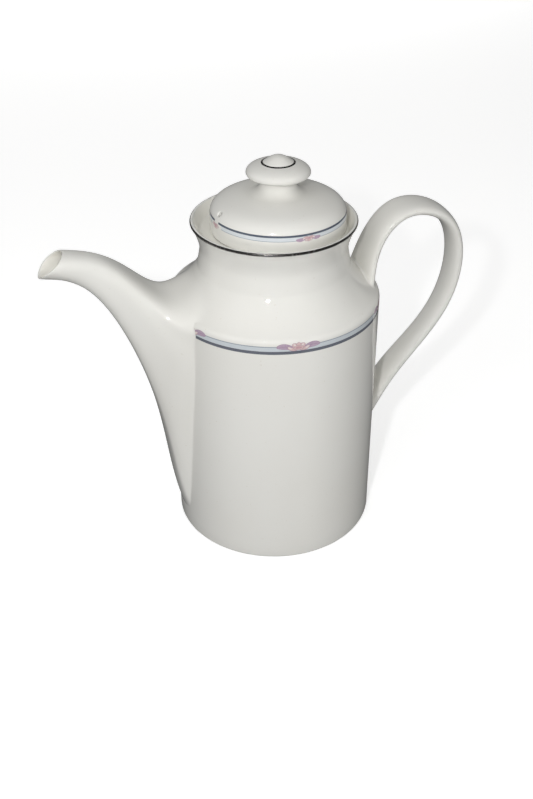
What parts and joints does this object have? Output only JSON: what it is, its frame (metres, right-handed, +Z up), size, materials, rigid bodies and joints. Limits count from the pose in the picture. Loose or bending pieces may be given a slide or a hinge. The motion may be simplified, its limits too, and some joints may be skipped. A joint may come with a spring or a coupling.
{
  "type": "coffee pot",
  "caption": "Tall cylindrical bone-china coffee pot with flared neck, long curved spout, high strap handle, printed floral band and a domed lift-off lid with a mushroom knob.",
  "frame": {"origin": "on the surface the pot stands on, under the centre of the whole pot's box from spout tip to handle", "axes": "+Z up, -X the way the spout points, +X towards the handle; the XZ plane is the mirror plane of body, spout and handle"},
  "size_m": [0.2125, 0.105, 0.2005],
  "materials": {
    "china": "high-gloss clear glaze over warm white bone china",
    "platinum": "burnished platinum line fired on the glaze",
    "transfer": "on-glaze print in pale ice blue between slate lines, with pink and mauve flowers"
  },
  "bodies": {
    "pot": {"pot_body": "china", "spout": "china", "handle": "china", "rim_line": "platinum", "body_band": "transfer"},
    "lid": {"lid_shell": "china", "lid_knob": "china", "lid_band": "transfer", "knob_line": "platinum"}
  },
  "joints": [
    {"name": "lid_lift", "type": "slide", "parent": "pot", "child": "lid", "axis": [0, 0, 1], "range_m": [0, 0.06]}
  ]
}
